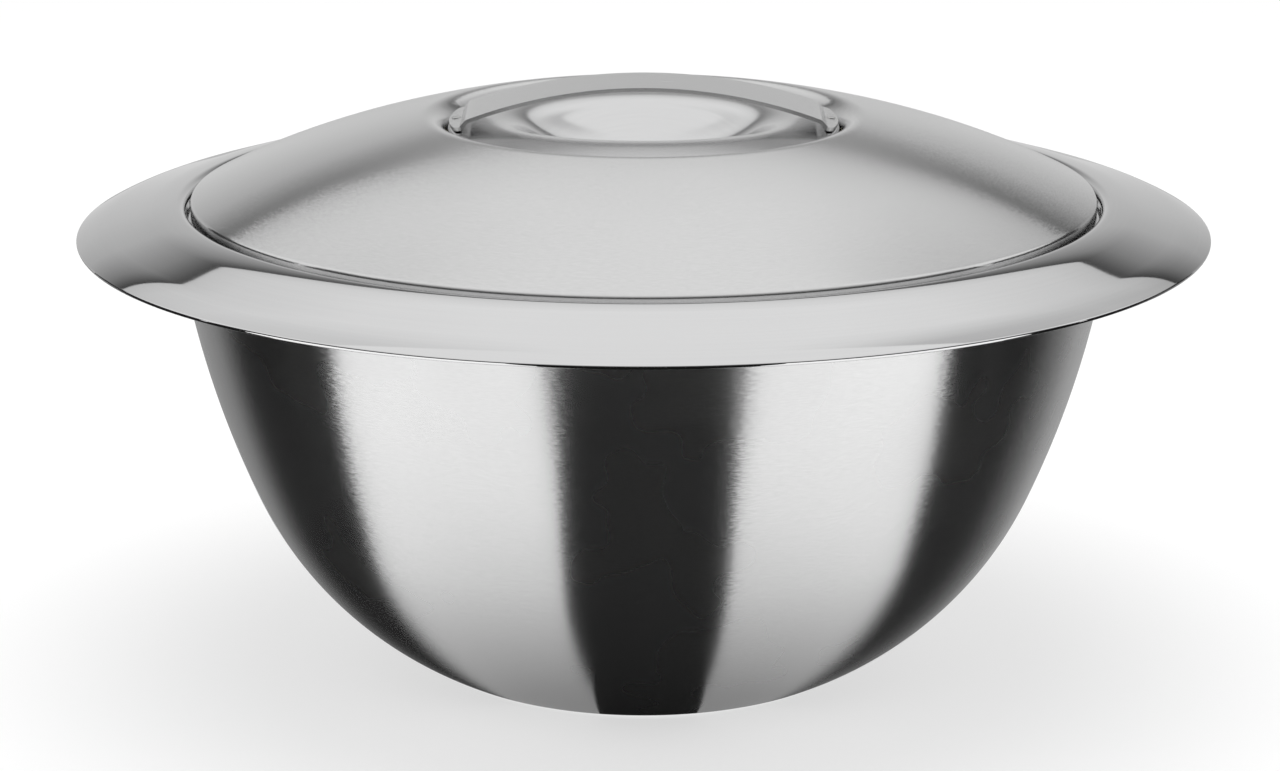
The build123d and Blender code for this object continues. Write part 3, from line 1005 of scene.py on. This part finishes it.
def flat_card(name, corners, material):
    """A flat card between corners."""
    bm = bmesh.new()
    bmesh.ops.contextual_create(bm, geom=[bm.verts.new(corner) for corner in corners])
    return stand_card(name, bm, material)


def look_up(tree, value, levels):
    """The level at a value, in a list of (value, level)."""
    first = levels[0][0]
    last = levels[-1][0]
    share = add(tree, "ShaderNodeMapRange")
    share.inputs["From Min"].default_value = first
    share.inputs["From Max"].default_value = last
    feed(tree, share.inputs["Value"], value)
    ramp = add(tree, "ShaderNodeValToRGB")
    stops = ramp.color_ramp.elements
    while len(stops) < len(levels):
        stops.new(HALFWAY)
    for stop, (at, level) in zip(stops, levels):
        stop.position = (at - first) / (last - first)
        stop.color = (level, level, level, 1)
    feed(tree, ramp.inputs[0], share.outputs[0])
    return ramp.outputs[0]


def graded(name, value_of, levels, side_levels=EVEN_SIDES):
    """A glow by height, radius or bearing (0 is behind), dimmer to the sides if need be."""
    material, tree, lamp = glow(name, 1.0)
    where = round_axis(tree)
    where["bearing"] = calc(tree, "DEGREES", calc(tree, "ARCTAN2", where["out_x"], where["out_y"]))
    sideways = look_up(tree, calc(tree, "MULTIPLY", where["out_x"], where["radius"]), side_levels)
    strength = calc(tree, "MULTIPLY", look_up(tree, where[value_of], levels), sideways)
    feed(tree, lamp.inputs["Strength"], strength)
    return material


print("a card is seen by the steel alone")

# %% [markdown]
# ## Cards on the floor
# A bright fan lies in front, dimmer near the bowl, where its own shadow falls, so the bands
# fade towards the base. A dark wedge on it draws the black stripe down the middle, and its
# bent sides set the stripe's width at each height. Behind, the floor turns from black at the
# sides to grey, which lightens the edges of the bowl. The fan and the floor behind both start
# in front of the axis, which sets how the bands narrow towards the base.

# %% Floor cards
FLOOR_CLEARANCE = 0.5 * MM
FLOOR_START = 0.01
FLOOR_REACH = 1.24
FAN_SPAN = (-76.5, 74)
FAN_SHIFT = 0.039
FAN_LEVELS = ((0.0, 0.25), (0.04, 0.36), (0.13, 1.14), (0.24, 1.38), (0.4, 1.48))
WEDGE = (
    (0.0, 0.0), (0.0185, -0.075), (0.03, -0.105), (0.047, -0.147), (0.068, -0.203), (0.57, -1.2),
    (-0.55, -1.2), (-0.061, -0.203), (-0.043, -0.147), (-0.028, -0.105), (-0.015, -0.075),
)
BACK_SPAN = (30, 330)
BACK_SHIFT = 0.07
BACK_LEVELS = (
    (-150, 0.01), (-63, 0.02), (-51, 0.28), (-22, 0.4), (0, 0.66),
    (22, 0.5), (47, 0.42), (58, 0.2), (70, 0.02), (150, 0.01),
)
CARD_STEP = 0.2 * MM
DARK = 0.01


def floor_card(name, first, last, height, material):
    """A fan on the floor between two azimuths."""
    return spun_card(name, first, last, (FLOOR_START, height), (FLOOR_REACH, height), material)


fan_height = FLOOR_CLEARANCE + CARD_STEP
wedge_height = fan_height + CARD_STEP
paint = graded("back_floor", "bearing", BACK_LEVELS)
floor_card("back_floor", *BACK_SPAN, FLOOR_CLEARANCE, paint).location.y = -BACK_SHIFT
paint = graded("front_fan", "radius", FAN_LEVELS)
floor_card("front_fan", *FAN_SPAN, fan_height, paint).location.y = -FAN_SHIFT
paint, *_ = glow("dark_wedge", DARK)
flat_card("dark_wedge", [(x, y, wedge_height) for x, y in WEDGE], paint)
print("bright fan spans", FAN_SPAN[1] - FAN_SPAN[0], "degrees")

# %% [markdown]
# ## Cards that stand, and a canopy
# The camera's side of the studio is dark near the floor and brightens upward, into a canopy
# that hangs high in front. From the photograph's side only the tight bends look that way,
# and it puts the thin dark lines along the rim and along the lid's edge.

# %% Standing cards
CARD_DISTANCE = 1.25
CANOPY_REACH = 0.95
FLAG_LEVELS = ((0.0, 0.03), (0.5, 0.03))
FRONT_LEVELS = ((0.0, 0.02), (0.5, 0.03), (0.95, 0.5))
CANOPY_LEVELS = ((0.95, 0.5), (1.6, 0.95))
STANDING_CARDS = {
    "front_flag": (-88, 88, CARD_DISTANCE, FRONT_LEVELS),
    "left_flag": (-132, -90, CARD_DISTANCE, FLAG_LEVELS),
    "right_flag": (90, 132, CARD_DISTANCE, FLAG_LEVELS),
    "canopy": (-75, 75, CANOPY_REACH, CANOPY_LEVELS),
}
for name, (first, last, top_reach, levels) in STANDING_CARDS.items():
    bottom = (CARD_DISTANCE, levels[0][0])
    top = (top_reach, levels[-1][0])
    spun_card(name, first, last, bottom, top, graded(name, "height", levels))
print(len(STANDING_CARDS), "cards stand or hang round the bowl")

# %% [markdown]
# ## The back wall
# The lid and the flange look up and back, over the bowl, at the far wall of the studio: grey
# near the floor, darker towards its top, and then the bright ceiling starts at a hard edge.
# That edge is the dark line that curls over both ends of the flange. In the photograph it is
# a little higher on the left, so the wall leans.

# %% Back wall
WALL_HALF_WIDTH = 1.7
WALL_LEAN = 0.053
WALL_LEVELS = ((-0.1, 0.72), (0.33, 0.64), (0.51, 0.56), (0.7, 0.3), (0.825, 0.06))
LEDGE_LEVELS = ((0.825, 0.76), (0.96, 0.88), (1.3, 1.0), (2.6, 1.0))
SIDE_LEVELS = ((-1.1, 0.82), (-0.35, 1.0), (0.25, 1.0), (0.45, 0.93), (0.8, 0.68), (1.1, 0.62))


def wall_card(name, levels):
    """A strip of the leaning wall, as high as its list of levels."""
    bottom = levels[0][0]
    top = levels[-1][0]
    ends = [(-1, bottom), (1, bottom), (1, top), (-1, top)]
    corners = [(side * WALL_HALF_WIDTH, CARD_DISTANCE, height) for side, height in ends]
    paint = graded(name, "height", levels, SIDE_LEVELS)
    flat_card(name, corners, paint).rotation_euler.y = WALL_LEAN


wall_card("back_wall", WALL_LEVELS)
wall_card("wall_ledge", LEDGE_LEVELS)
wall_top = WALL_LEVELS[-1][0]
print("wall top seen at", round(degrees(atan2(wall_top - RIM.y, CARD_DISTANCE)), 1), "degrees")

# %% [markdown]
# ## Floor, room light and lamp
# The floor is plain and pale, and fades out into the white room far from the bowl, so that
# no horizon shows. In the photograph it is almost burnt out, so part of it glows for the eye,
# which leaves a light shadow. The room lights it at a plain level, and one large soft lamp
# above gives the shadow under the bowl a direction.

# %% Floor, world and lamp
FLOOR_RADIUS = 3.0
FLOOR_SEGMENTS = 96
FLOOR_ROUGHNESS = 0.9
FADE_START = 0.45
FADE_END = 1.3
FLOOR_COLOUR = (0.93, 0.93, 0.93)
FLOOR_GLOW = 0.62
ROOM_LEVEL = 0.75
LAMP_SIZE = 2.0
LAMP_HEIGHT = 2.2
LAMP_POWER = 32


def seen_directly(tree):
    """One for rays of the eye, of mirrors and of glass, zero for rays that light the scene."""
    path = add(tree, "ShaderNodeLightPath")
    seen = calc(tree, "ADD", path.outputs["Is Camera Ray"], path.outputs["Is Glossy Ray"])
    return calc(tree, "MINIMUM", calc(tree, "ADD", seen, path.outputs["Is Transmission Ray"]), 1.0)


floor_bm = bmesh.new()
bmesh.ops.create_circle(floor_bm, cap_ends=True, segments=FLOOR_SEGMENTS, radius=FLOOR_RADIUS)
floor_mesh = bpy.data.meshes.new("floor")
floor_bm.to_mesh(floor_mesh)
floor_bm.free()
floor = bpy.data.objects.new("floor", floor_mesh)
bpy.context.scene.collection.objects.link(floor)

floor_paint, tree, shader = start_material("pale_floor")
fade = add(tree, "ShaderNodeMapRange", interpolation_type="SMOOTHSTEP")
feed(tree, fade.inputs["Value"], round_axis(tree)["radius"])
fade.inputs["From Min"].default_value = FADE_START
fade.inputs["From Max"].default_value = FADE_END
clear = add(tree, "ShaderNodeBsdfTransparent")
white = add(tree, "ShaderNodeEmission")
lit = add(tree, "ShaderNodeMixShader")
blend = add(tree, "ShaderNodeMixShader")
shader.inputs["Base Color"].default_value = (*FLOOR_COLOUR, 1)
shader.inputs["Roughness"].default_value = FLOOR_ROUGHNESS
shader.inputs["Specular IOR Level"].default_value = 0.0
feed(tree, blend.inputs[0], fade.outputs[0])
feed(tree, lit.inputs[0], calc(tree, "MULTIPLY", seen_directly(tree), FLOOR_GLOW))
feed(tree, lit.inputs[1], shader.outputs[0])
feed(tree, lit.inputs[2], white.outputs[0])
feed(tree, blend.inputs[1], lit.outputs[0])
feed(tree, blend.inputs[2], clear.outputs[0])
feed(tree, tree.nodes["Material Output"].inputs["Surface"], blend.outputs[0])
dress(floor, floor_paint)

world = bpy.data.worlds.new("white_room")
bpy.context.scene.world = world
world.use_nodes = True
tree = world.node_tree
room = tree.nodes["Background"]
room.inputs["Color"].default_value = (1, 1, 1, 1)
feed(tree, room.inputs["Strength"], spread(tree, seen_directly(tree), ROOM_LEVEL, 1.0))

lamp = bpy.data.lights.new("soft_lamp", "AREA")
lamp.shape = "DISK"
lamp.size = LAMP_SIZE
lamp.energy = LAMP_POWER
soft_lamp = bpy.data.objects.new("soft_lamp", lamp)
soft_lamp.location = (0, 0, LAMP_HEIGHT)
soft_lamp.visible_glossy = False
bpy.context.scene.collection.objects.link(soft_lamp)
print("floor fades between", FADE_START, "and", FADE_END, "m")

# %% [markdown]
# ## Camera
# The view that fits the photograph is from the front, a little above the lid, with a long
# lens about a metre away: a longer distance would flatten the flange's oval.

# %% Camera
EYE_DISTANCE = 1.0
EYE_ELEVATION = radians(12.7)
LENS = 105.3
SENSOR = 36
IMAGE_WIDTH = 1280
IMAGE_HEIGHT = 771
RIM_PIXEL = Vector((643.7, 227.4))

eye = bpy.data.cameras.new("eye")
eye.lens = LENS
eye.sensor_width = SENSOR
camera = bpy.data.objects.new("eye", eye)
bpy.context.scene.collection.objects.link(camera)
aim = Vector((0, 0, RIM.y))
camera.location = aim + EYE_DISTANCE * Vector((0, -cos(EYE_ELEVATION), sin(EYE_ELEVATION)))
focal = LENS / SENSOR * IMAGE_WIDTH
drop = atan2(IMAGE_HEIGHT / 2 - RIM_PIXEL.y, focal)
yaw = atan2(RIM_PIXEL.x - IMAGE_WIDTH / 2, focal)
camera.rotation_euler = (pi / 2 - EYE_ELEVATION - drop, 0, yaw)
bpy.context.scene.camera = camera
bpy.context.scene.view_settings.view_transform = "Standard"
print("camera at", [round(value, 4) for value in camera.location])
